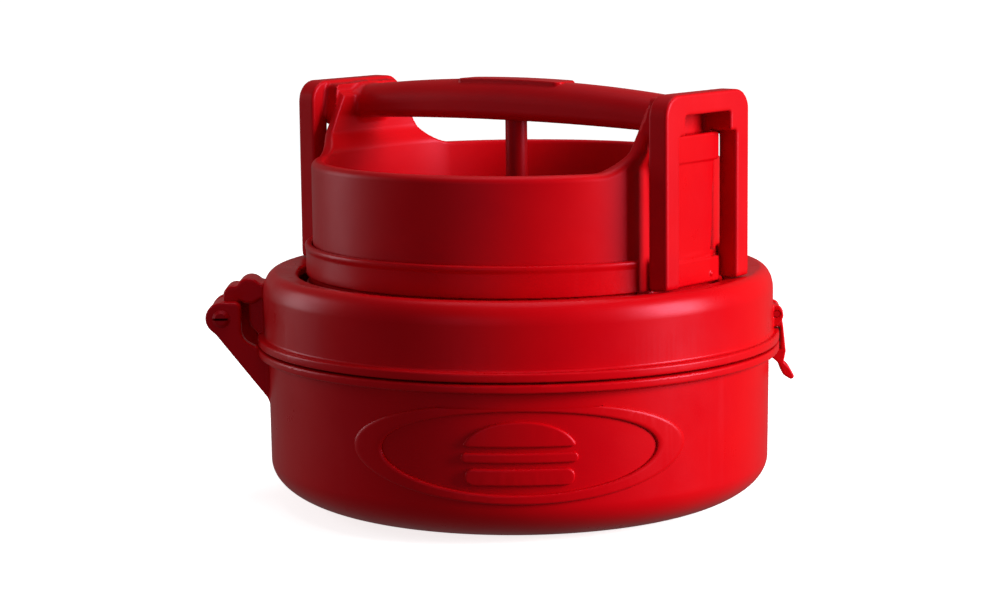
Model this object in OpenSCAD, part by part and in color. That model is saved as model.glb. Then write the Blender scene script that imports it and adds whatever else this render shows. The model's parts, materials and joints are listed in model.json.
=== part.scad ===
// Stuffed-patty press: a round bowl with a hinged lid, a latch, a turning collar in the
// lid's opening, and a cup-shaped plunger with a bar handle that slides in the collar.
// Millimetres, +Z up. The origin is the centre of the bowl's underside, the hinge is at -X
// and the latch at +X. The plunger parts are drawn with their handle along X and then turned.

/* [Bowl] */
// Outer radius of the bowl's wall just under its rim
bowl_r = 71.35; // [70.5:0.05:71.6]
// Height of the bowl's rim
bowl_h = 44.75; // [44:0.05:45]
// Thickness of the bowl's wall
bowl_wall = 2.7; // [2.2:0.1:2.9]
// Thickness of the bowl's floor
floor_t = 3; // [2.5:0.1:4]
// Outer radius of the rim flanges of bowl and lid
flange_r = 74.2; // [73.8:0.1:74.2]
// Thickness of each rim flange
flange_t = 2.65; // [2:0.05:2.8]

/* [Lid] */
// Outer radius of the lid's wall
lid_r = 72.4; // [72:0.1:72.6]
// Radius of the round opening in the lid
opening_r = 62.4; // [62.2:0.1:62.8]
// Height of the lid's crest
lid_top = 65.8; // [65.6:0.1:66]
// Thickness of the lid's wall
lid_wall = 2.6; // [2.2:0.1:2.8]

/* [Collar and press ring] */
// Outer radius of the collar
collar_r = 60.3; // [60.1:0.1:60.4]
// Height of the collar's top edge
collar_top = 73.6; // [72.8:0.1:75]
// Outer radius of the press ring at the collar's foot
ring_r = 65; // [62:0.5:65.5]
// Height of the press ring's underside above the table
ring_z = 27; // [25:0.5:29]
// Height of the top of the collar's tongues
tongue_top = 105.8; // [104:0.1:106]

/* [Plunger] */
// Outer radius of the cup
cup_r = 58; // [57.8:0.1:58]
// Height of the cup's rim
cup_top = 96.9; // [96:0.1:98]
// Distance of the cup's two flats from its axis
cup_flat = 54.4; // [53.5:0.1:55]
// Outer radius of the pocket former
former_r = 47; // [42:0.5:47.1]
// Height of the pocket former's working face above the table
former_z = 11; // [9:0.5:14]
// Turn of the handle away from the line from hinge to latch, in degrees
handle_turn = -38; // [-45:1:-30]

/* [Handle] */
// Distance of the loops' outer faces from the plunger's axis
loop_out = 65.3; // [64.8:0.1:65.4]
// Half width of each loop
loop_half = 19.8; // [19:0.1:19.9]
// Half width of each loop's window
window_half = 13.6; // [13.2:0.1:13.8]
// Half width of the pocket above the window, which is open to the outside
notch_half = 10.8; // [10:0.1:11.4]
// Height of the loops' top face
loop_top = 117.3; // [116:0.1:118]
// Height of the bar's top in the middle
bar_top = 119; // [118:0.1:120]
// Width of the handle's bar
bar_w = 14.6; // [13:0.1:16]

/* [Hinge and latch] */
// Distance of the hinge pin from the bowl's axis
hinge_x = 83.8; // [83.6:0.1:84.4]
// Height of the hinge pin
hinge_z = 52.7; // [52.4:0.1:53]
// Half width of the hinge across its two arms
hinge_half = 10; // [9.5:0.1:11]
// Distance of the latch pin from the bowl's axis
latch_x = 73.2; // [73.1:0.05:73.3]
// Height of the latch pin
latch_z = 52; // [51.8:0.1:52.1]
// Half width of the latch lever
latch_half = 4.2; // [4:0.1:4.5]

/* [Hidden] */
$fn = 128;
eps = 0.01;
red = [0.80, 0.02, 0.03];
deep_red = [0.62, 0.01, 0.03];
steel = [0.70, 0.70, 0.72];
rim_gap = 0.2; // between the two rim flanges
slide_gap = 0.35; // between the cup and the collar around it
lid_base = bowl_h + rim_gap;
crest_r = 68.5; // where the lid's shoulder ends and its top starts to slope inwards
dome_z = 59.5; // where the lid's upright wall ends and its shoulder starts
lip_z = lid_top - 0.9; // height of the opening's edge
lobe = [-76.3, 59.9]; // centre of the neck's round end
lobe_r = 3.7;
web_half = 3.6; // half width of the web under the neck
near_arm_in = -78.3; // inner edge of the front hinge arm
far_arm_in = -75.6; // inner edge of the back hinge arm
collar_in = cup_r + slide_gap;
corner_w = 22; // width and height of the elliptic corner under the bowl's wall
corner_h = 12;
arm_t = 4; // thickness of one hinge arm
pin_r = 1.75;
pin_play = 0.06;
boss_r = 4.5; // round end of a hinge arm
lug_half = hinge_half - arm_t - 0.4;
groove_z = [62.4, 64.9]; // the collar's running groove, which the lid's lugs hold
groove_r = 59.3;
lug_tip_r = groove_r + 0.45;
lid_lug_angles = [-134.6, -14.6, 105.4];
ring_t = 3;
cup_wall = 3.5;
cup_base = 2.5; // thickness of the cup's floor
cup_floor = ring_z + ring_t + 0.2; // underside of the cup's floor, just above the press ring
leg_in = 59.3; // inner face of the loops' legs
pocket_top = 111.6; // roof of the pocket between the ear and the loop's outer face
shoulder_z = tongue_top + 0.4; // the loops' shoulders stop just above the tongues
ear_t = 2.4;
ear_out = cup_flat + 1.9; // outer face of the ears' upper end
latch_ear_t = 1.8;
tongue_in = 58.9;
tongue_out = 60.7;
tongue_step = 98.3; // where the tongue widens to its head
head_half = 12;
block_half = 12.3;
block_top = 71.9;
slot_half = loop_half + 0.5; // the collar's slots clear the loops' legs by this
ear_top = 113.5;
bar_under = 107.5; // height of the bar's underside in the middle
bar_rise = 3.6; // how far the bar's top drops to its ends
under_rise = 1.5;
post_r = 3.1;
screw_r = 1.6;
latch_pin_r = 0.9;

// Corner q between p and s, rounded to radius r with n steps
function unit(v) = v / norm(v);
function corner(p, q, s, r, n) =
    r <= 0 ? [q] :
    let (
        a = unit(p - q),
        b = unit(s - q),
        half = acos(a * b) / 2,
        c = q + unit(a + b) * r / sin(half),
        from = q + a * r / tan(half) - c,
        to = q + b * r / tan(half) - c,
        start = atan2(from.y, from.x),
        turn = (atan2(to.y, to.x) - start + 540) % 360 - 180
    )
    [for (i = [0:n]) c + r * [cos(start + turn * i / n), sin(start + turn * i / n)]];

// Closed outline from points [x, y, corner radius]
function flat_point(p) = [p.x, p.y];
function rounded(pts, n = 6) = [
    for (i = [0:len(pts) - 1])
        each corner(
            flat_point(pts[(i + len(pts) - 1) % len(pts)]), flat_point(pts[i]),
            flat_point(pts[(i + 1) % len(pts)]), pts[i][2], n
        )
];

// Quarter of an ellipse about [x, z], from its outermost point up to its top
function quarter(x, z, a, b, n = 10) = [for (i = [0:n]) [x + a * cos(90 * i / n), z + b * sin(90 * i / n)]];

// Radius of an arc with half chord c and rise h
function arch_r(c, h) = (c * c + h * h) / (2 * h);

// An outline in X and Z, made into a plate from y0 to y1
module plate(y0, y1) translate([0, y1, 0]) rotate([90, 0, 0]) linear_extrude(y1 - y0) children();

// A round bar along Y from y0 to y1 at [x, z]
module y_bar(x, z, r, y0, y1) translate([x, y1, z]) rotate([90, 0, 0]) cylinder(r = r, h = y1 - y0);

module ring(r_in, r_out, z0, z1)
    translate([0, 0, z0]) rotate_extrude() translate([r_in, 0]) square([r_out - r_in, z1 - z0]);

// An outline across the handle, made into a plate from x0 to x1
module across(x0, x1) translate([x0, 0, 0]) rotate([90, 0, 90]) linear_extrude(x1 - x0) children();

// Turns plunger parts from the handle's own axes to their place over the bowl
module turned() rotate([0, 0, handle_turn]) children();

// Both ends of the handle
module both_ends() for (side = [0, 180]) rotate([0, 0, side]) children();

module hinge_arm_outline(arm_in) {
    slope = [0.615, -0.789];
    foot_x = bowl_r - 2.05;
    start = [-hinge_x - 3.24, hinge_z - 2.52];
    foot = start + slope * (hinge_x + 3.24 - foot_x) / slope.x;
    translate([-hinge_x, hinge_z]) circle(r = boss_r);
    polygon(rounded([
        [start.x, start.y, 0], [-foot_x, foot.y, 0], [-foot_x, bowl_h - 0.05, 0],
        [-flange_r - 0.3, bowl_h - 0.05, 0.3], [arm_in, bowl_h + 2, 4.5],
        [arm_in, hinge_z + boss_r, 1.8], [-hinge_x, hinge_z + boss_r, 0],
    ]));
}

// The bowl's outer corner as an ellipse, from its foot out and up to radius r
function bottom_corner(r, n = 12) = [
    for (i = [0:n]) [r - corner_w + corner_w * sin(90 * i / n), corner_h * (1 - cos(90 * i / n)), 0]
];

// The bowl, with its rim flange and the two hinge arms
module base_bowl() color(red) difference() {
    union() {
        rotate_extrude() polygon(rounded([
            [0, 0, 0], [30, 0, 0.4], [31, 0.8, 0.4], [43, 0.8, 0.4], [44, 0, 0.4],
            each bottom_corner(bowl_r - 0.45),
            [bowl_r, bowl_h - flange_t, 0.6],
            [flange_r, bowl_h - flange_t, 0.7], [flange_r, bowl_h, 0.5],
            [bowl_r - bowl_wall, bowl_h, 0.8],
            [bowl_r - bowl_wall - 0.6, floor_t, 14], [0, floor_t, 0],
        ]));
        plate(-hinge_half, arm_t - hinge_half) hinge_arm_outline(near_arm_in);
        plate(hinge_half - arm_t, hinge_half) hinge_arm_outline(far_arm_in);
    }
    y_bar(-hinge_x, hinge_z, pin_r + pin_play, -hinge_half - 1, hinge_half + 1);
}

// The snap pin that the lid turns on: a split barbed head in front and a flat head behind
module hinge_pin() color(deep_red) difference() {
    union() {
        y_bar(-hinge_x, hinge_z, pin_r, -hinge_half - 1, hinge_half + 0.1);
        y_bar(-hinge_x, hinge_z, 3.1, hinge_half, hinge_half + 1.3);
        translate([-hinge_x, -hinge_half, hinge_z]) rotate([90, 0, 0]) rotate_extrude() polygon(rounded([
            [0, 0, 0], [2.5, 0, 0], [2.5, 0.5, 0.4], [1.6, 1.4, 0.5], [0, 1.4, 0],
        ]));
    }
    translate([-hinge_x - 4, -hinge_half - 2, hinge_z - 0.35]) cube([8, 7, 0.7]);
}

// The neck that carries the lid over the rim to the hinge pin
module lid_neck_outline() {
    translate([-hinge_x, hinge_z]) circle(r = 4.3);
    translate(lobe) circle(r = lobe_r);
    polygon(rounded([
        [-hinge_x + 0.2, hinge_z, 0], [-hinge_x + 0.2, 62.2, 2.9], [-79.8, 61.4, 0],
        [-77, 63, 0], [-70.2, 61.5, 0], [-70.4, 58, 0], [-76.6, 57, 0],
        [-79.3, 57.3, 1], [-79.8, hinge_z, 0],
    ]));
}

// The web under the neck, which stands on the lid's flange
module lid_web_outline() polygon(rounded([
    [-70.2, 60, 0], [-70.6, 46.5, 0], [-73.2, 46.5, 0], [-76.6, 50.2, 4], [-76.6, 59.5, 0],
]));

module latch_ear_outline() polygon(rounded([
    [70.6, latch_z - 4, 0], [latch_x + 0.5, latch_z - 3.4, 1.2], [latch_x + 2.1, latch_z - 0.8, 2],
    [latch_x + 1.4, latch_z + 2.4, 1.9], [70.6, latch_z + 2.6, 0],
]));

// The lid: a domed ring with an open middle, its hinge neck and the ears of the latch
module lid_shell() color(red) difference() {
    union() {
        rotate_extrude() polygon(concat(
            rounded([
                [lid_r - lid_wall, dome_z - 0.5, 0], [lid_r - lid_wall, lid_base, 0.6],
                [flange_r, lid_base, 0.5], [flange_r, lid_base + flange_t, 0.7],
                [lid_r, lid_base + flange_t, 0.6], [lid_r, dome_z - 0.01, 0],
            ]),
            quarter(crest_r, dome_z, lid_r - crest_r, lid_top - dome_z),
            [[opening_r + 0.5, lip_z], [opening_r, lip_z - 0.5], [opening_r, lip_z - 2.7]],
            [for (p = [10:-1:0]) quarter(crest_r - 1, dome_z - 0.5,
                lid_r - lid_wall - crest_r + 1, lid_top - dome_z - lid_wall + 0.4)[p]]
        ));
        plate(-lug_half, lug_half) lid_neck_outline();
        plate(-web_half, web_half) lid_web_outline();
        for (y0 = [-latch_half - 0.3 - latch_ear_t, latch_half + 0.3])
            plate(y0, y0 + latch_ear_t) latch_ear_outline();
        for (a = lid_lug_angles) rotate([0, 0, a]) intersection() {
            ring(lug_tip_r, opening_r + 0.5, groove_z[0] + 0.3, groove_z[1] - 0.3);
            translate([50, -2.15, 50]) cube([20, 4.3, 20]);
        }
    }
    y_bar(-hinge_x, hinge_z, pin_r + pin_play, -20, 20);
    y_bar(latch_x, latch_z, 2.2, -latch_half - 0.3, latch_half + 0.3);
    y_bar(latch_x, latch_z, latch_pin_r + 0.04, -15, 15);
}

module latch_pin() color(deep_red)
    y_bar(latch_x, latch_z, latch_pin_r, -latch_half - latch_ear_t - 0.4, latch_half + latch_ear_t + 0.4);

// The latch: a lever that hooks under the bowl's rim and ends in a thumb tab
module latch_lever() color(red) difference() {
    hook_top = bowl_h - flange_t - 0.5;
    seat = lid_base + flange_t + 0.3; // the lever's root clears the lid's flange
    union() {
        y_bar(latch_x, latch_z, 1.9, -latch_half, latch_half);
        plate(-latch_half, latch_half) polygon(rounded([
            [latch_x + 1.6, latch_z + 1, 0], [latch_x + 2.1, latch_z - 3.6, 3],
            [latch_x + 2.9, latch_z - 11, 3], [latch_x + 2.3, latch_z - 14.2, 0.8],
            [latch_x + 4.1, latch_z - 16, 1.5], [latch_x + 5.4, latch_z - 18.4, 0.8],
            [latch_x + 4.6, latch_z - 19.5, 0.8], [latch_x + 2.1, latch_z - 17.9, 1.2],
            [latch_x + 0.9, latch_z - 14.7, 0.8], [latch_x - 1.4, latch_z - 12.6, 0.4],
            [latch_x - 1.4, hook_top, 0.3], [flange_r + 0.3, hook_top, 0.3],
            [flange_r + 0.3, seat, 0.3], [latch_x - 0.4, seat, 0.3], [latch_x - 0.4, latch_z, 0],
        ]));
    }
    y_bar(latch_x, latch_z, latch_pin_r + 0.07, -15, 15);
}

// The collar that turns in the lid. A tongue stands up at each end of the handle and
// slots beside it clear the legs of the handle's loops.
module press_collar() color(red) turned() difference() {
    union() {
        ring(collar_in, collar_r - 0.02, ring_z + ring_t, collar_top - 0.6);
        rotate_extrude() polygon(rounded([
            [collar_in, collar_top - 4, 0], [collar_r, collar_top - 4, 0],
            [collar_r, collar_top, 0.6], [collar_in, collar_top, 0.5],
        ]));
        both_ends() {
            difference() {
                translate([50, -block_half, groove_z[1]])
                    cube([tongue_out - 50, 2 * block_half, block_top - groove_z[1]]);
                cylinder(r = collar_in, h = 200);
            }
            across(tongue_in, tongue_out - 0.3) polygon([
                [-8.6, groove_z[1] + 1], [8.6, groove_z[1] + 1],
                [10, tongue_step + 1], [-10, tongue_step + 1],
            ]);
            across(tongue_in, tongue_out) polygon(rounded([
                [-head_half, tongue_step, 0.5], [head_half, tongue_step, 0.5],
                [head_half, tongue_top, 0.8], [-head_half, tongue_top, 0.8],
            ]));
        }
    }
    ring(groove_r, collar_r + 4, groove_z[0], groove_z[1]);
    both_ends() for (side = [-1, 1])
        translate([60, side * (block_half + slot_half) / 2, groove_z[1] + 15])
            cube([20, slot_half - block_half, 30], center = true);
}

// The flat ring at the collar's foot, which presses the patty's edge
module press_ring() color(red) rotate_extrude() polygon(rounded([
    [former_r + 0.5, ring_z, 0.6], [ring_r, ring_z, 1], [ring_r, ring_z + ring_t, 0.6],
    [former_r + 0.5, ring_z + ring_t, 0.4],
]));

// The plunger's cup: round, with a flat at each end of the handle
module cup_solid(r, flat, z0, z1) intersection() {
    translate([0, 0, z0]) cylinder(r = r, h = z1 - z0);
    translate([-flat, -r - 1, z0 - 1]) cube([2 * flat, 2 * r + 2, z1 - z0 + 2]);
}

module plunger_cup() color(red) turned() difference() {
    cup_solid(cup_r, cup_flat, cup_floor, cup_top);
    cup_solid(cup_r - cup_wall, cup_flat - cup_wall, cup_floor + cup_base, cup_top + 1);
    translate([0, 0, cup_floor - 1]) cylinder(r = screw_r + 0.3, h = 10);
}

// The ears' outline across the handle: a fillet at the rim, then steep straight sides
module ear_outline() {
    foot = 22.5;
    head = 12.6;
    polygon(rounded([
        [-27, cup_top - 1, 0], [27, cup_top - 1, 0], [27, cup_top + eps, 0],
        [foot, cup_top + eps, 5], [head, ear_top, 0], [-head, ear_top, 0],
        [-foot, cup_top + eps, 5], [-27, cup_top + eps, 0],
    ]));
}

// One ear of the handle: the cup's wall, carried on upwards to the end of the bar
module ear() {
    wing_top = 99;
    wall_half = 19.5; // the ear's flat part is as wide as the cup's flat
    intersection() {
        union() {
            difference() {
                cup_solid(cup_r, cup_flat, cup_top, wing_top);
                cup_solid(cup_r - cup_wall, cup_flat - cup_wall, cup_top - 1, wing_top + 1);
            }
            plate(-wall_half, wall_half) polygon([
                [cup_flat - cup_wall, cup_top], [cup_flat, cup_top], [ear_out, 103],
                [ear_out, ear_top], [ear_out - ear_t, ear_top], [ear_out - ear_t, 103],
            ]);
        }
        across(40, 70) ear_outline();
    }
}

module loop() difference() {
    across(leg_in, loop_out) difference() {
        polygon(rounded([
            [-loop_half, 60, 0], [loop_half, 60, 0],
            [loop_half, loop_top, 5.5], [-loop_half, loop_top, 5.5],
        ]));
        polygon(rounded([
            [-window_half, 50, 0], [window_half, 50, 0],
            [window_half, shoulder_z, 0.6], [-window_half, shoulder_z, 0.6],
        ]));
    }
    feet_clearance();
}

// The end of the bar, which joins the ear to the loop over the handle's own width
module bar_end() across(ear_out - 1, leg_in + 1) polygon(rounded([
    [-15.5, shoulder_z + 0.4, 0], [15.5, shoulder_z + 0.4, 0],
    [13.5, 116.2, 3], [-13.5, 116.2, 3],
]));

// The pocket above the window, from the loop's outer face in to the ear
module pocket() across(ear_out, loop_out + 1) polygon(rounded([
    [-notch_half, shoulder_z - 5, 0], [notch_half, shoulder_z - 5, 0],
    [notch_half, pocket_top, 0.6], [-notch_half, pocket_top, 0.6],
]));

// What the loops' feet stand clear of: the lid's dome and opening edge
module feet_clearance() {
    gap = 0.3;
    rotate_extrude() polygon(concat(
        [[0, 40], [lid_r, 40]],
        quarter(crest_r, dome_z, lid_r - crest_r + gap, lid_top - dome_z + gap),
        [[0, lid_top + gap]]
    ));
}

module bar() {
    half = leg_in;
    top_r = arch_r(half, bar_rise);
    under_r = arch_r(half, under_rise);
    lean = asin(half / top_r);
    difference() {
        translate([0, 0, bar_top - top_r]) rotate([90, 0, 0]) rotate([0, 0, 90 - lean])
            rotate_extrude(angle = 2 * lean, $fn = 720) polygon(rounded([
                [top_r - 13.5, -bar_w / 2 + 0.8, 0], [top_r - 13.5, bar_w / 2 - 0.8, 0],
                [top_r, bar_w / 2, 5.5], [top_r, -bar_w / 2, 5.5],
            ]));
        y_bar(0, bar_under - under_r, under_r, -20, 20, $fn = 720);
        translate([0, 0, 90]) cylinder(r = post_r + 0.05, h = bar_under + 4.6 - 90);
    }
}

// The handle: a bar between two loops, and the ears that stand on the cup's rim
module handle_frame() color(red) turned() difference() {
    union() {
        bar();
        both_ends() {
            ear();
            loop();
            bar_end();
        }
    }
    both_ends() pocket();
}

// The post that carries the load from the bar to the cup's floor
module centre_post() color(deep_red) difference() {
    translate([0, 0, cup_floor + cup_base]) cylinder(r = post_r, h = bar_under + 4.5 - cup_floor - cup_base);
    translate([0, 0, cup_floor]) cylinder(r = screw_r + 0.03, h = 20);
}

// The hollow disc that presses the pocket for the filling
module pocket_former() color(red) difference() {
    rotate_extrude() polygon(rounded([
        [0, former_z, 0], [former_r, former_z, 2.5], [former_r, cup_floor, 0.3],
        [former_r - 2.4, cup_floor, 0.3], [former_r - 2.4, former_z + 2.6, 1.5],
        [6, former_z + 2.6, 0.8], [6, cup_floor, 0], [0, cup_floor, 0],
    ]));
    translate([0, 0, former_z - 1]) cylinder(r = screw_r + 0.3, h = 40);
    translate([0, 0, former_z - 1]) cylinder(r = 3.9, h = 3.2);
}

// The screw that holds the pocket former and the cup to the post
module former_screw() color(steel) difference() {
    union() {
        translate([0, 0, former_z + 2.1]) cylinder(r = screw_r, h = 36);
        translate([0, 0, former_z + 0.3]) rotate_extrude() polygon(rounded([
            [0, 0, 0], [3.5, 0, 0.7], [3.5, 1.85, 0], [0, 1.85, 0],
        ]));
    }
    for (a = [0, 90]) rotate([0, 0, a]) translate([-2, -0.35, former_z - 0.5]) cube([4, 0.7, 1.8]);
}

base_bowl();
hinge_pin();
lid_shell();
latch_pin();
latch_lever();
press_collar();
press_ring();
plunger_cup();
handle_frame();
centre_post();
pocket_former();
former_screw();
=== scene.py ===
"""Looks for the stuffed patty press: every plastic moulding is rebuilt as a smooth, filleted mesh
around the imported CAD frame, with procedural plastic, a pale floor and soft studio light.

Each moulding is described by a field: a function of x, y and z in millimetres that is negative
inside the plastic, zero on its surface and positive outside. The mesher turns it into a mesh.
"""

import json
import math

import bpy
import numpy as np
from mathutils import Matrix, Vector


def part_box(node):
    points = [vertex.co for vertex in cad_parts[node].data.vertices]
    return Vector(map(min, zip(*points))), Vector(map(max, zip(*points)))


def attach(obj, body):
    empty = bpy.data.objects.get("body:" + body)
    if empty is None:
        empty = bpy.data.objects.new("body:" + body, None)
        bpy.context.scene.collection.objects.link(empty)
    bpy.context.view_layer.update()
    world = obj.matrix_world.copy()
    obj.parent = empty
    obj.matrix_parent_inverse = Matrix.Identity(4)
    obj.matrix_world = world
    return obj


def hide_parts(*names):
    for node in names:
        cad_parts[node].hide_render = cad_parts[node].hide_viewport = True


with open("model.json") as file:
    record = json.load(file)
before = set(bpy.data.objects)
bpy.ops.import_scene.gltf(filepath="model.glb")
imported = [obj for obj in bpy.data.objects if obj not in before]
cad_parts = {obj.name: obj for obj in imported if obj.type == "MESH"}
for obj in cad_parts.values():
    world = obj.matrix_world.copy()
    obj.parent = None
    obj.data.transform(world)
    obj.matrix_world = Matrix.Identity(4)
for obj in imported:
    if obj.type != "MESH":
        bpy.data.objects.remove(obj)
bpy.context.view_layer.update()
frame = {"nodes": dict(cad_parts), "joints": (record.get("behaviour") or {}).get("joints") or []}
MM = 0.001
joints = {j["name"]: j for j in frame["joints"]}


# ---------------------------------------------------------------- places, from the frame, in mm
def node_box(name):
    low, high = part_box(name)
    return np.array(low) / MM, np.array(high) / MM


_, bowl_high = node_box("base_bowl")
collar_low, collar_high = node_box("press_collar")
cup_low, cup_high = node_box("plunger_cup")
_, handle_high = node_box("handle_frame")
_, lever_high = node_box("latch_lever")

HINGE_X, _, HINGE_Z = (v / MM for v in joints["lid_hinge"]["pos_m"])
LATCH_X, _, LATCH_Z = (v / MM for v in joints["latch_pivot"]["pos_m"])
HANDLE_TURN = math.radians(38)  # the handle's turn off the line from hinge to latch

FLANGE_R = bowl_high[1]
BOWL_R = FLANGE_R - 2.85
CORNER_W = 22.0  # the elliptic corner under the bowl's wall
CORNER_H = 12.0
BOWL_FLOOR = 3
BOWL_DRAFT = 0.45  # how much narrower the wall is at the foot
FOOT_GROOVE = (30.5, 43.5)  # radii of the shallow groove underneath
FOOT_GROOVE_DEPTH = 0.8
RIM_Z = 44.75
FLANGE_T = 2.65
LID_BASE = RIM_Z + 0.2
LID_R = 72.4
LID_TOP = 65.8
LIP_DROP = 0.9
DOME_Z = 59.5
CREST_R = 68.5
OPENING_R = 62.4
COLLAR_R = 60.3
COLLAR_IN = 58.35
COLLAR_TOP = 73.6
RUNNING_GROOVE_R = 59.3
RUNNING_GROOVE = (62.4, 64.9)  # where the lid's lugs run
TONGUE_IN = 58.9
TONGUE_STEP = 98.3  # where a tongue widens to its head
RING_TOP = collar_low[2]
TONGUE_TOP = collar_high[2]
CUP_R = 58.0
CUP_FLAT = 54.4
CUP_WALL = 3.5
CUP_BASE = 2.5
CUP_LOW = cup_low[2]
CUP_TOP = cup_high[2]
LOOP_IN = 59.3
LOOP_OUT = 65.3
LOOP_HALF = 19.8
LOOP_TOP = 117.3
WINDOW_HALF = 13.6
POCKET_HALF = 10.8
POCKET_TOP = 111.6
SHOULDER_Z = TONGUE_TOP + 0.4
EAR_LEAN = 1.9
EAR_T = 2.4
EAR_OUT = CUP_FLAT + EAR_LEAN
EAR_FOOT = 22.5
EAR_HEAD = 12.6
EAR_TOP = 113.5
BAR_TOP = handle_high[2]
BAR_HALF = 7.3
BAR_UNDER = 107.5
HINGE_HALF = 10.0
ARM_T = 4.0
LATCH_HALF = lever_high[1]
LATCH_EAR_T = 1.8
BOSS_R = 4.5  # round end of a hinge arm
NECK_R = 4.3  # and of the lid's neck between the arms
HINGE_BORE = 1.81
LATCH_EAR_BORE = 0.95
LEVER_BORE = 0.97
LEVER_EYE_R = 1.9
WEB_HALF = 3.6
LUG_ANGLES = (-134.6, -14.6, 105.4)


# ---------------------------------------------------------------- fields
def slab(v, low, high):
    return np.abs(v - (low + high) / 2) - (high - low) / 2


def both(a, b, r=0.0):
    """Where both fields are inside, with the edge between them rounded to radius r."""
    if r == 0:
        return np.maximum(a, b)
    return np.minimum(-r, np.maximum(a, b)) + np.hypot(np.maximum(a + r, 0), np.maximum(b + r, 0))


def either(a, b, r=0.0):
    """Where either field is inside, with a fillet of radius r between them."""
    return -both(-a, -b, r)


def cut(a, b, r=0.0):
    """Field a without field b, its new edges rounded to radius r."""
    return both(a, -b, r)


def ease(v, low, high):
    v = np.clip((v - low) / (high - low), 0, 1)
    return v * v * (3 - 2 * v)


def from_hinge(x, z):
    """Distance from the hinge pin's axis."""
    return np.hypot(x - HINGE_X, z - HINGE_Z)


def from_latch(x, z):
    """Distance from the latch pin's axis."""
    return np.hypot(x - LATCH_X, z - LATCH_Z)


def handle_axes(x, y):
    """Distances along the handle's bar and across it."""
    c, s = math.cos(HANDLE_TURN), math.sin(HANDLE_TURN)
    return x * c - y * s, x * s + y * c


def rounded(points, steps=6):
    """A closed outline from (x, y, corner radius) points, its corners drawn as arcs."""
    out = []
    for i, (x, y, r) in enumerate(points):
        q = np.array([x, y], float)
        if r == 0:
            out.append(q)
            continue
        p = np.array(points[i - 1][:2], float) - q
        s = np.array(points[(i + 1) % len(points)][:2], float) - q
        p, s = p / np.linalg.norm(p), s / np.linalg.norm(s)
        half = math.acos(np.clip(p @ s, -1, 1)) / 2
        centre = q + (p + s) / np.linalg.norm(p + s) * r / math.sin(half)
        a, b = q + p * r / math.tan(half) - centre, q + s * r / math.tan(half) - centre
        start = math.atan2(a[1], a[0])
        turn = (math.atan2(b[1], b[0]) - start + 3 * math.pi) % (2 * math.pi) - math.pi
        for k in range(steps + 1):
            angle = start + turn * k / steps
            out.append(centre + r * np.array([math.cos(angle), math.sin(angle)]))
    return np.array(out)


def outline(u, v, points):
    """Signed distance to a closed outline in the plane of u and v."""
    near = np.full(np.broadcast(u, v).shape, np.inf)
    sign = np.ones(near.shape)
    for a, b in zip(points, np.roll(points, -1, 0)):
        edge = b - a
        du, dv = u - a[0], v - a[1]
        along = np.clip((du * edge[0] + dv * edge[1]) / (edge @ edge), 0, 1)
        near = np.minimum(near, (du - edge[0] * along) ** 2 + (dv - edge[1] * along) ** 2)
        above, below, left = v >= a[1], v < b[1], edge[0] * dv > edge[1] * du
        sign = np.where((above & below & left) | ~(above | below | left), -sign, sign)
    return sign * np.sqrt(near)


# ---------------------------------------------------------------- mesher
def lines(*spans):
    """Grid lines from (from, to, step) spans that follow each other."""
    parts = [np.linspace(a, b, max(2, round((b - a) / step) + 1))[:-1] for a, b, step in spans]
    return np.concatenate(parts + [[spans[-1][1]]])


def sample(field, xs, ys, zs, block=4):
    """The field on every grid point; away from the surface one value serves a whole block."""
    def blocks(v):
        groups = [v[i:i + block] for i in range(0, len(v), block)]
        middle = np.array([(g[0] + g[-1]) / 2 for g in groups])
        half = np.array([(g[-1] - g[0]) / 2 for g in groups])
        return middle, half, np.arange(len(v)) // block

    (mx, hx, ix), (my, hy, iy), (mz, hz, iz) = blocks(xs), blocks(ys), blocks(zs)
    coarse = field(mx[:, None, None], my[None, :, None], mz[None, None, :])
    reach = 1.35 * np.sqrt(hx[:, None, None] ** 2 + hy[None, :, None] ** 2 + hz[None, None, :] ** 2) + 1.2
    near = (np.abs(coarse) < reach)[np.ix_(ix, iy, iz)]
    values = coarse[np.ix_(ix, iy, iz)]
    at = np.nonzero(near)
    values[at] = field(xs[at[0]], ys[at[1]], zs[at[2]])
    return values


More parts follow.
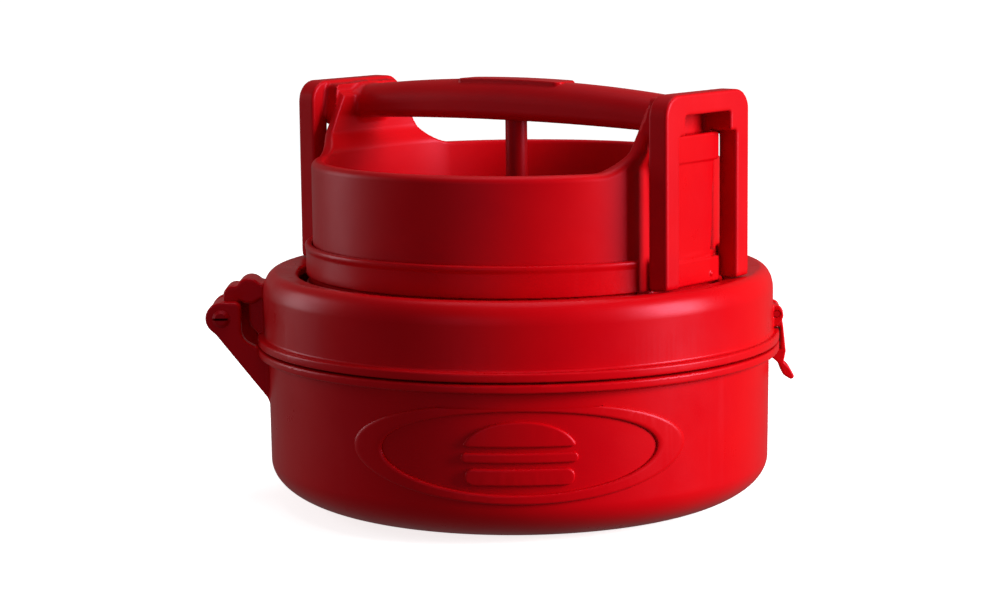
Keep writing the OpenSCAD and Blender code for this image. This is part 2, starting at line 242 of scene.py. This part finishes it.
def surface(values, xs, ys, zs):
    """One vertex in each cell that the surface crosses, and one quad across each crossed edge."""
    inside = values < 0
    count = sum(inside[i:i - 1 or None, j:j - 1 or None, k:k - 1 or None].astype(np.int8)
                for i in (0, 1) for j in (0, 1) for k in (0, 1))
    mixed = (count > 0) & (count < 8)
    index = np.full(mixed.shape, -1)
    index[mixed] = np.arange(mixed.sum())
    cell = np.array(np.nonzero(mixed))
    axes = (xs, ys, zs)
    place = np.zeros((3, cell.shape[1]))
    hits = np.zeros(cell.shape[1])
    for axis in range(3):
        for corner in range(4):
            low = cell.copy()
            low[(axis + 1) % 3] += corner & 1
            low[(axis + 2) % 3] += corner >> 1
            high = low.copy()
            high[axis] += 1
            a, b = values[tuple(low)], values[tuple(high)]
            crossed = (a < 0) != (b < 0)
            share = np.where(crossed, a / np.where(crossed, a - b, 1), 0)
            for k in range(3):
                start = axes[k][low[k]]
                place[k] += np.where(crossed, start + share * (axes[k][high[k]] - start), 0)
            hits += crossed
    quads = []
    for axis in range(3):
        swap = np.moveaxis(inside, (axis, (axis + 1) % 3, (axis + 2) % 3), (0, 1, 2))
        cells = np.moveaxis(index, (axis, (axis + 1) % 3, (axis + 2) % 3), (0, 1, 2))
        crossed = swap[:-1, 1:-1, 1:-1] != swap[1:, 1:-1, 1:-1]
        i, j, k = np.nonzero(crossed)
        ring = np.stack([cells[i, j, k], cells[i, j + 1, k], cells[i, j + 1, k + 1], cells[i, j, k + 1]], 1)
        flip = ~swap[:-1, 1:-1, 1:-1][crossed]
        ring[flip] = ring[flip, ::-1]
        quads.append(ring)
    return (place / hits).T, np.concatenate(quads)


def slope(field, p, h=0.01):
    out = np.empty_like(p)
    for k in range(3):
        step = np.zeros(3)
        step[k] = h
        out[:, k] = field(*(p + step).T) - field(*(p - step).T)
    return out / (2 * h)


def settle(field, p, rounds=3, limit=0.4):
    """Moves points onto the field's surface."""
    for _ in range(rounds):
        g = slope(field, p)
        size = np.maximum((g * g).sum(1), 0.04)
        p = p - g * np.clip(field(*p.T) / size, -limit, limit)[:, None]
    return p


def mesh_object(name, points, faces):
    mesh = bpy.data.meshes.new(name)
    mesh.from_pydata((points * MM).tolist(), [], faces.tolist())
    obj = bpy.data.objects.new(name, mesh)
    bpy.context.scene.collection.objects.link(obj)
    return obj


def moulding(name, field, xs, ys, zs, keep):
    """A piece from its field: meshed on the grid, thinned to a share of its faces, and smooth."""
    points, quads = surface(sample(field, xs, ys, zs), xs, ys, zs)
    obj = mesh_object(name, settle(field, points), quads)
    thin = obj.modifiers.new("thin", "DECIMATE")
    thin.ratio = keep
    seen = obj.evaluated_get(bpy.context.evaluated_depsgraph_get())
    mesh = bpy.data.meshes.new_from_object(seen)
    obj.modifiers.clear()
    obj.data = mesh
    mesh.name = name
    co = np.empty(len(mesh.vertices) * 3)
    mesh.vertices.foreach_get("co", co)
    points = settle(field, co.reshape(-1, 3) / MM, 2, 0.15)
    mesh.vertices.foreach_set("co", (points * MM).ravel())
    mesh.polygons.foreach_set("use_smooth", np.ones(len(mesh.polygons), bool))
    normals = slope(field, points)
    normals /= np.linalg.norm(normals, axis=1)[:, None]
    mesh.normals_split_custom_set_from_vertices(normals.tolist())
    mesh.update()
    return obj


# ---------------------------------------------------------------- the mouldings
def arm_outline(arm_in):
    return rounded([
        (HINGE_X - 3.24, HINGE_Z - 2.52, 0), (-69.3, 27.5, 0), (-69.3, RIM_Z - 0.1, 0),
        (-FLANGE_R - 0.3, RIM_Z - 0.1, 0.3), (arm_in, RIM_Z + 2, 4.5),
        (arm_in, HINGE_Z + BOSS_R, 1.8), (HINGE_X, HINGE_Z + BOSS_R, 0),
    ])


NEAR_ARM = arm_outline(-78.3)
FAR_ARM = arm_outline(-75.6)
NECK_OUTLINE = rounded([
    (HINGE_X + 0.2, HINGE_Z, 0), (HINGE_X + 0.2, 62.2, 2.9), (-79.8, 61.4, 0),
    (-77, 63, 0), (-70.2, 61.5, 0), (-70.4, 58, 0), (-76.6, 57, 0),
    (-79.3, 57.3, 1), (-79.8, HINGE_Z, 0),
])
WEB_OUTLINE = rounded([
    (-70.2, 60, 0), (-70.6, 46.5, 0), (-73.2, 46.5, 0), (-76.6, 50.2, 4), (-76.6, 59.5, 0),
])
LOBE = (-76.3, 59.9, 3.7)  # the round end of the neck, where it meets the dome
HOOK_TOP = RIM_Z - FLANGE_T - 0.5
LEVER_SEAT = LID_BASE + FLANGE_T + 0.3
LEVER_OUTLINE = rounded([
    (LATCH_X + 1.3, LATCH_Z + 1.2, 0), (LATCH_X + 2.1, LATCH_Z - 3.6, 3),
    (LATCH_X + 2.9, LATCH_Z - 11, 3), (LATCH_X + 2.3, LATCH_Z - 14.2, 0.8),
    (LATCH_X + 4.1, LATCH_Z - 16, 1.5), (LATCH_X + 5.4, LATCH_Z - 18.4, 0.8),
    (LATCH_X + 4.6, LATCH_Z - 19.5, 0.8), (LATCH_X + 2.1, LATCH_Z - 17.9, 1.2),
    (LATCH_X + 0.9, LATCH_Z - 14.7, 0.8), (LATCH_X - 1.4, LATCH_Z - 12.6, 0.4),
    (LATCH_X - 1.4, HOOK_TOP, 0.3), (FLANGE_R + 0.3, HOOK_TOP, 0.3),
    (FLANGE_R + 0.3, LEVER_SEAT, 0.3), (LATCH_X - 0.4, LEVER_SEAT, 0.3), (LATCH_X - 0.4, LATCH_Z, 0),
])
LATCH_EAR_OUTLINE = rounded([
    (70.6, LATCH_Z - 4, 0), (LATCH_X + 0.5, LATCH_Z - 3.4, 1.2), (LATCH_X + 2.1, LATCH_Z - 0.8, 2),
    (LATCH_X + 1.4, LATCH_Z + 2.4, 1.9), (70.6, LATCH_Z + 2.6, 0),
])


def bowl_wall_field(rho, z):
    """The bowl's flat foot, its elliptic corner and its wall, as nearly a distance."""
    run = np.maximum(rho - (BOWL_R - BOWL_DRAFT + 0.01 * z - CORNER_W), 0)
    drop = np.maximum(CORNER_H - z, 0)
    level = np.maximum(np.hypot(run / CORNER_W, drop / CORNER_H), 0.05)
    steepness = np.maximum(np.hypot(run / CORNER_W ** 2, drop / CORNER_H ** 2), 0.0005)
    return level * (level - 1) / steepness


def bowl_field(x, y, z):
    rho = np.hypot(x, y)
    wall = bowl_wall_field(rho, z)
    rim = both(rho - FLANGE_R, slab(z, RIM_Z - FLANGE_T, RIM_Z), 0.7)
    outside = both(either(wall, rim, 0.6), z - RIM_Z, 0.6)
    hollow = both(rho - (BOWL_R - 3.3 + 0.0134 * z), BOWL_FLOOR - z, 14)
    groove = both(slab(rho, *FOOT_GROOVE), z - FOOT_GROOVE_DEPTH, 0.3)
    bowl = cut(cut(outside, hollow, 0.6), groove, 0.3)
    for side, points in ((-1, NEAR_ARM), (1, FAR_ARM)):
        arm = either(outline(x, z, points), from_hinge(x, z) - BOSS_R, 0.5)
        bowl = either(bowl, both(arm, slab(side * y, HINGE_HALF - ARM_T, HINGE_HALF), 0.6), 0.9)
    return cut(bowl, from_hinge(x, z) - HINGE_BORE, 0.2)


def lid_top_field(rho, z):
    shoulder = np.hypot(np.maximum(rho - CREST_R, 0) / (LID_R - CREST_R),
                        np.maximum(z - DOME_Z, 0) / (LID_TOP - DOME_Z)) - 1
    slope_in = LIP_DROP * np.clip((CREST_R - rho) / (CREST_R - OPENING_R), 0, 2)
    return np.maximum(4.6 * shoulder, z - LID_TOP + slope_in)


def lid_field(x, y, z):
    rho = np.hypot(x, y)
    bend = np.hypot(np.maximum(rho - CREST_R + 1, 0) / 2.3, np.maximum(z - DOME_Z + 0.5, 0) / 4.1)
    under = 2.9 * (bend - 1)
    under = np.maximum(under, z - 63.1 + LIP_DROP * np.clip((CREST_R - 1 - rho) / 5.1, 0, 2))
    shell = cut(lid_top_field(rho, z), under)
    rim = both(slab(rho, LID_R - 2.6, FLANGE_R), slab(z, LID_BASE, LID_BASE + FLANGE_T), 0.7)
    lid = both(either(shell, rim, 0.7), LID_BASE - z, 0.5)
    lid = both(lid, OPENING_R - rho, 0.8)
    neck = either(outline(x, z, NECK_OUTLINE), from_hinge(x, z) - NECK_R, 0.6)
    neck = either(neck, np.hypot(x - LOBE[0], z - LOBE[1]) - LOBE[2], 0.4)
    lid = either(lid, both(neck, np.abs(y) - (HINGE_HALF - ARM_T - 0.4), 0.9), 0.7)
    lid = either(lid, both(outline(x, z, WEB_OUTLINE), np.abs(y) - WEB_HALF, 0.5), 0.4)
    ear_from = LATCH_HALF + 0.3
    ear = both(outline(x, z, LATCH_EAR_OUTLINE), slab(np.abs(y), ear_from, ear_from + LATCH_EAR_T), 0.45)
    lid = either(lid, ear, 0.6)
    for angle in LUG_ANGLES:
        c, s = math.cos(math.radians(angle)), math.sin(math.radians(angle))
        lug = both(both(slab(rho, 59.75, OPENING_R + 0.6), slab(z, 62.7, 64.6), 0.3),
                   both(np.abs(y * c - x * s) - 2.15, -(x * c + y * s)), 0.3)
        lid = either(lid, lug, 0.3)
    lid = cut(lid, from_hinge(x, z) - HINGE_BORE, 0.2)
    pocket = both(from_latch(x, z) - 2.2, np.abs(y) - LATCH_HALF - 0.3)
    lid = cut(lid, pocket, 0.15)
    return cut(lid, from_latch(x, z) - LATCH_EAR_BORE + 10 * (x < 0))


def collar_field(x, y, z):
    s, t = handle_axes(x, y)
    out, across, rho = np.abs(s), np.abs(t), np.hypot(x, y)
    waist = 0.3 * ease(COLLAR_TOP - z, 1.0, 2.2)
    sleeve = both(both(rho - COLLAR_R + waist, COLLAR_IN - rho), slab(z, RING_TOP, COLLAR_TOP), 0.6)
    block = both(across - 12.3, slab(z, 64.9, 71.9), 0.6)
    block = both(both(block, out - 60.7, 0.5), COLLAR_IN - rho)
    collar = either(sleeve, both(block, 40 - out), 0.4)
    slot = both(slab(across, 12.7, LOOP_HALF + 0.5), both(65 - z, 50 - out), 0.6)
    collar = cut(collar, slot, 0.4)
    collar = cut(collar, both(slab(z, *RUNNING_GROOVE), RUNNING_GROOVE_R - rho), 0.2)
    shank = both(across - (8.6 + 0.055 * (z - 72)), slab(z, 66, 100), 0.4)
    shank = both(shank, slab(out, TONGUE_IN, 60.35), 0.4)
    head = both(both(across - 12, slab(z, TONGUE_STEP, TONGUE_TOP), 0.9), slab(out, TONGUE_IN, 60.75), 0.5)
    pip = np.sqrt((across - 8) ** 2 + (z - 67.2) ** 2 + (out - 60.3) ** 2) - 0.9
    collar = either(collar, shank, 0.5)
    return either(either(collar, head, 0.4), pip, 0.2)


def cup_field(out, t, z):
    """The cup, its rounded rim, and the two ears that its wall runs up into."""
    rising = ease(z, CUP_TOP, CUP_TOP + 6)
    shifted = out - EAR_LEAN * rising
    within = shifted - (CUP_WALL - EAR_T) * rising
    outer = both(np.hypot(shifted, t) - CUP_R, shifted - CUP_FLAT, 0.8)
    inner = both(np.hypot(within, t) - (CUP_R - CUP_WALL), within - (CUP_FLAT - CUP_WALL), 4)
    rise, run = EAR_TOP - CUP_TOP, EAR_FOOT - EAR_HEAD
    side = ((np.abs(t) - EAR_FOOT) * rise + (z - CUP_TOP) * run) / math.hypot(rise, run)
    top = either(z - CUP_TOP, both(side, z - EAR_TOP), 5)
    body = both(both(outer, top, 1.9), CUP_LOW - z, 1)
    return cut(body, both(inner, CUP_LOW + CUP_BASE - z, 3), 0.9)


def plunger_field(x, y, z):
    s, t = handle_axes(x, y)
    out, across = np.abs(s), np.abs(t)
    window = both(across - WINDOW_HALF, z - SHOULDER_Z, 0.8)
    loop = cut(both(across - LOOP_HALF, z - LOOP_TOP, 6), window)
    loop = both(loop, slab(out, LOOP_IN, LOOP_OUT), 0.8)
    loop = both(loop, 0.3 - lid_top_field(np.hypot(x, y), z), 0.8)
    arch = (out / LOOP_IN) ** 2
    crown = BAR_TOP - 3.6 * arch
    bar = both(both(across - BAR_HALF, z - crown + 0.35, 6.3), BAR_UNDER - 1.5 * arch - z, 2.6)
    bar = both(bar, out - LOOP_IN - 2)
    end = both(across - 15.5 + 0.2 * (z - SHOULDER_Z), slab(z, SHOULDER_Z + 0.4, 116.3), 1.2)
    end = both(end, slab(out, EAR_OUT - 1, LOOP_IN + 1))
    lip = both(slab(across, POCKET_HALF - 1, 15), slab(z, SHOULDER_Z - 1.7, SHOULDER_Z + 1), 0.5)
    end = either(end, both(lip, slab(out, EAR_OUT - 1, 58.5), 0.4), 0.5)
    pad = both(both(both(out - 18.3, across - 4.5, 2), z - crown, 0.3), 112 - z)
    handle = either(either(bar, end, 2.5), pad, 0.3)
    handle = either(handle, cup_field(out, t, z), 1.6)
    pocket = both(both(across - POCKET_HALF, z - POCKET_TOP, 1), SHOULDER_Z - 5 - z)
    pocket = both(pocket, EAR_OUT - out, 0.8)
    return cut(either(handle, loop, 1.2), pocket, 0.7)


def lever_field(x, y, z):
    lever = either(outline(x, z, LEVER_OUTLINE), from_latch(x, z) - LEVER_EYE_R, 0.3)
    lever = both(lever, np.abs(y) - LATCH_HALF, 0.5)
    return cut(lever, from_latch(x, z) - LEVER_BORE)


def relief_field(x, y, z):
    """A generic raised badge on the bowl's front: an oval frame with a burger glyph."""
    rho = np.hypot(x, y)
    u, v = BOWL_R * np.arctan2(x, -y), z - 26
    oval = (np.hypot(u / 47, v / 13.6) - 1) * 13.6
    ring = np.abs(oval + 1.3) - 1.3
    bun = both(both(np.hypot(u / 1.9, v - 0.6) - 8, 1.6 - v, 0.8), v - 9)
    patty = both(np.abs(u) - 15.5, slab(v, -2.6, 0.2), 1.3)
    base = both(np.abs(u) - 14.5, slab(v, -8.6, -4), 2.2)
    shape = np.minimum(np.minimum(ring, bun), np.minimum(patty, base))
    skin = slab(rho, BOWL_R - 1.2, BOWL_R + 0.75)
    return both(shape, skin, 0.6)


def red_pieces():
    fine = 0.62
    reach = 61.5
    base = moulding(
        "bowl", bowl_field, lines((-90, -68, 0.5), (-68, 76, 1.0)),
        lines((-76, -12, 1.0), (-12, 12, 0.5), (12, 76, 1.0)),
        lines((-1, 4.5, 0.5), (4.5, 26, 1), (26, 60, 0.5)), 0.5)
    lid = moulding(
        "lid", lid_field, lines((-90, -66, 0.45), (-66, 66, 0.8), (66, 78, 0.45)),
        lines((-76, -14, 0.8), (-14, 14, 0.45), (14, 76, 0.8)), lines((44, 66.5, 0.45)), 0.4)
    collar = moulding(
        "collar", collar_field, lines((-reach, reach, fine)), lines((-reach, reach, fine)),
        lines((29, 31.5, 0.5), (31.5, 61, 2), (61, 75, 0.5), (75, 97, 1.5), (97, 107.2, 0.5)), 0.4)
    plunger = moulding(
        "plunger", plunger_field, lines((-66, 66, fine)), lines((-59.5, 59.5, fine)),
        lines((CUP_LOW - 1, 36, 0.6), (36, 94, 1.6), (94, 120.5, fine)), 0.4)
    lever = moulding(
        "latch_lever_shell", lever_field, lines((70.5, 80.5, 0.35)), lines((-5.5, 5.5, 0.35)),
        lines((31, 55, 0.35)), 0.5)
    relief = moulding(
        "front_relief", relief_field, lines((-46, 46, 0.4)), lines((-73.5, -50, 0.4)),
        lines((7, 38, 0.4)), 0.4)
    for obj, body, nodes in ((base, "base", ["base_bowl"]), (lid, "lid", ["lid_shell"]),
                             (collar, "collar", ["press_collar"]),
                             (plunger, "plunger", ["plunger_cup", "handle_frame"]),
                             (lever, "latch", ["latch_lever"]), (relief, "base", [])):
        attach(obj, body)
        if nodes:
            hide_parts(*nodes)
    return base, lid, collar, plunger, lever, relief


# ---------------------------------------------------------------- materials
def node_of(tree, kind, **values):
    node = tree.nodes.new(kind)
    for key, value in values.items():
        if key in node.inputs:
            node.inputs[key].default_value = value
        else:
            setattr(node, key, value)
    return node


def noise(tree, scale, detail=3.0, roughness=0.5):
    coords = node_of(tree, "ShaderNodeTexCoord")
    node = node_of(tree, "ShaderNodeTexNoise", Scale=scale, Detail=detail, Roughness=roughness)
    tree.links.new(coords.outputs["Object"], node.inputs["Vector"])
    return node.outputs["Fac"]


def ramp(tree, source, low, high, start, end):
    node = node_of(tree, "ShaderNodeMapRange")
    node.inputs["From Min"].default_value = low
    node.inputs["From Max"].default_value = high
    node.inputs["To Min"].default_value = start
    node.inputs["To Max"].default_value = end
    tree.links.new(source, node.inputs["Value"])
    return node.outputs["Result"]


def stretched(tree, scale, squeeze):
    """Noise drawn out into streaks: one axis is sampled far more coarsely than the others."""
    coords = node_of(tree, "ShaderNodeTexCoord")
    mapping = node_of(tree, "ShaderNodeMapping")
    mapping.inputs["Rotation"].default_value = (0.5, 0.3, 0.7)
    mapping.inputs["Scale"].default_value = squeeze
    streaks = node_of(tree, "ShaderNodeTexNoise", Scale=scale, Detail=2.0, Roughness=0.4)
    tree.links.new(coords.outputs["Object"], mapping.inputs["Vector"])
    tree.links.new(mapping.outputs["Vector"], streaks.inputs["Vector"])
    return streaks.outputs["Fac"]


def maths(tree, operation, a, b):
    node = node_of(tree, "ShaderNodeMath", operation=operation)
    for socket, value in zip(node.inputs, (a, b)):
        if isinstance(value, float):
            socket.default_value = value
        else:
            tree.links.new(value, socket)
    return node.outputs["Value"]


def plastic(name, colour, shade, gloss, wear, bump=0.03):
    """Moulded plastic: faint flow variation, a fine orange-peel skin, uneven polish and hairline rubs."""
    material = bpy.data.materials.new(name)
    material.use_nodes = True
    tree = material.node_tree
    shader = tree.nodes["Principled BSDF"]
    rubs = ramp(tree, stretched(tree, 260, (1, 1, 0.06)), 0.66, 0.8, 0, wear)
    mix = node_of(tree, "ShaderNodeMix", data_type="RGBA")
    mix.inputs["A"].default_value = (*colour, 1)
    mix.inputs["B"].default_value = (*shade, 1)
    tree.links.new(ramp(tree, noise(tree, 35, 4), 0.35, 0.7, 0, 1), mix.inputs["Factor"])
    tree.links.new(mix.outputs["Result"], shader.inputs["Base Color"])
    polish = ramp(tree, noise(tree, 60, 5, 0.6), 0.3, 0.7, gloss - 0.05, gloss + 0.05)
    tree.links.new(maths(tree, "ADD", polish, rubs), shader.inputs["Roughness"])
    skin = node_of(tree, "ShaderNodeBump", Strength=bump, Distance=0.0003)
    relief = maths(tree, "SUBTRACT", noise(tree, 1500, 3, 0.55), rubs)
    tree.links.new(relief, skin.inputs["Height"])
    tree.links.new(skin.outputs["Normal"], shader.inputs["Normal"])
    shader.inputs["IOR"].default_value = 1.49
    shader.inputs["Specular IOR Level"].default_value = 0.22
    shader.inputs["Specular Tint"].default_value = (1, 0.32, 0.55, 1)
    return material


def steel(name):
    """Turned stainless: fine rings around the screw's axis, uneven polish and a few dark specks."""
    material = bpy.data.materials.new(name)
    material.use_nodes = True
    tree = material.node_tree
    shader = tree.nodes["Principled BSDF"]
    shader.inputs["Metallic"].default_value = 1
    mix = node_of(tree, "ShaderNodeMix", data_type="RGBA")
    mix.inputs["A"].default_value = (0.60, 0.60, 0.62, 1)
    mix.inputs["B"].default_value = (0.42, 0.41, 0.41, 1)
    tree.links.new(ramp(tree, noise(tree, 900, 4), 0.45, 0.75, 0, 1), mix.inputs["Factor"])
    tree.links.new(mix.outputs["Result"], shader.inputs["Base Color"])
    tree.links.new(ramp(tree, noise(tree, 700, 2), 0.3, 0.7, 0.24, 0.4), shader.inputs["Roughness"])
    coords = node_of(tree, "ShaderNodeTexCoord")
    rings = node_of(
        tree, "ShaderNodeTexWave", wave_type="RINGS", rings_direction="Z", Scale=2600, Distortion=0.6)
    tree.links.new(coords.outputs["Object"], rings.inputs["Vector"])
    turned = node_of(tree, "ShaderNodeBump", Strength=0.12, Distance=0.0001)
    tree.links.new(rings.outputs["Fac"], turned.inputs["Height"])
    tree.links.new(turned.outputs["Normal"], shader.inputs["Normal"])
    return material


def dress(obj, material):
    obj.data.materials.clear()
    obj.data.materials.append(material)


# ---------------------------------------------------------------- stage
def camera():
    """The photograph's viewpoint: 0.73 m in front, slightly above, looking a little down."""
    pitch, roll, yaw = 0.148, -0.011, -0.007
    forward = Vector((math.sin(yaw) * math.cos(pitch), math.cos(yaw) * math.cos(pitch), -math.sin(pitch)))
    right = Vector((math.cos(yaw), -math.sin(yaw), 0))
    up = right.cross(forward)
    tilted = math.cos(roll) * right + math.sin(roll) * up
    up = math.cos(roll) * up - math.sin(roll) * right
    data = bpy.data.cameras.new("camera")
    data.lens = 93.55
    data.sensor_width = 36
    data.clip_start = 0.05
    obj = bpy.data.objects.new("camera", data)
    obj.matrix_world = Matrix.Translation((0, -0.7335, 0.1652)) @ Matrix(
        (tilted, up, -forward)).transposed().to_4x4()
    bpy.context.scene.collection.objects.link(obj)
    bpy.context.scene.camera = obj


def area_light(name, place, target, size, power):
    data = bpy.data.lights.new(name, "AREA")
    data.shape = "RECTANGLE"
    data.size, data.size_y = size
    data.energy = power
    obj = bpy.data.objects.new(name, data)
    obj.location = place
    obj.rotation_euler = (Vector(target) - Vector(place)).to_track_quat("-Z", "Y").to_euler()
    bpy.context.scene.collection.objects.link(obj)


def sweep():
    """A pale floor that curves up into a backdrop all round the object."""
    flat_r, bend_r, wall_h = 1.2, 0.6, 2.2
    bend = [(flat_r + bend_r * math.sin(a), bend_r - bend_r * math.cos(a))
            for a in np.linspace(0.1, math.pi / 2, 12)]
    profile = [(flat_r, 0), *bend, (flat_r + bend_r, wall_h)]
    segments = 96
    points = [(r * math.cos(2 * math.pi * k / segments), r * math.sin(2 * math.pi * k / segments), z)
              for r, z in profile for k in range(segments)]
    faces = [tuple(range(segments))]
    for row in range(len(profile) - 1):
        for k in range(segments):
            n = (k + 1) % segments
            a, b = row * segments, (row + 1) * segments
            faces.append((a + k, b + k, b + n, a + n))
    mesh = bpy.data.meshes.new("sweep")
    mesh.from_pydata(points, [], faces)
    for polygon in mesh.polygons:
        polygon.use_smooth = len(polygon.vertices) == 4
    obj = bpy.data.objects.new("sweep", mesh)
    bpy.context.scene.collection.objects.link(obj)
    material = bpy.data.materials.new("pale_paper")
    material.use_nodes = True
    shader = material.node_tree.nodes["Principled BSDF"]
    shader.inputs["Base Color"].default_value = (0.9, 0.9, 0.9, 1)
    shader.inputs["Roughness"].default_value = 0.9
    shader.inputs["Emission Color"].default_value = (1, 1, 1, 1)
    shader.inputs["Emission Strength"].default_value = 0.8
    dress(obj, material)
    obj.visible_diffuse = False
    obj.visible_glossy = False


def studio():
    scene = bpy.context.scene
    scene.view_settings.view_transform = "Standard"
    world = bpy.data.worlds.new("studio")
    world.use_nodes = True
    world.node_tree.nodes["Background"].inputs["Color"].default_value = (1, 1, 1, 1)
    world.node_tree.nodes["Background"].inputs["Strength"].default_value = 0.14
    scene.world = world
    area_light("key", (0.851, -0.293, 0.30), (0, 0, 0.06), (0.4, 0.5), 14.4)
    area_light("top", (0.05, 0.05, 1.1), (0, 0, 0.05), (0.8, 0.8), 3.8)
    area_light("rim", (-0.85, 0.3, 0.22), (0, 0, 0.06), (0.4, 0.5), 2.0)
    area_light("fill", (-0.35, -0.95, 0.2), (0, 0, 0.05), (0.5, 0.4), 0.5)


camera()
studio()
sweep()
red = plastic("red_plastic", (0.56, 0.001, 0.003), (0.51, 0.0, 0.003), 0.31, 0.1)
satin = plastic("red_satin", (0.55, 0.001, 0.003), (0.49, 0.0, 0.003), 0.40, 0.16)
pin_red = plastic("red_pin", (0.45, 0.001, 0.003), (0.38, 0.0, 0.003), 0.42, 0.12)
for piece in red_pieces():
    dress(piece, satin if piece.name == "plunger" else red)
for name in ("press_ring", "pocket_former"):
    dress(frame["nodes"][name], red)
for name in ("hinge_pin", "latch_pin", "centre_post"):
    dress(frame["nodes"][name], pin_red)
dress(frame["nodes"]["former_screw"], steel("screw_steel"))
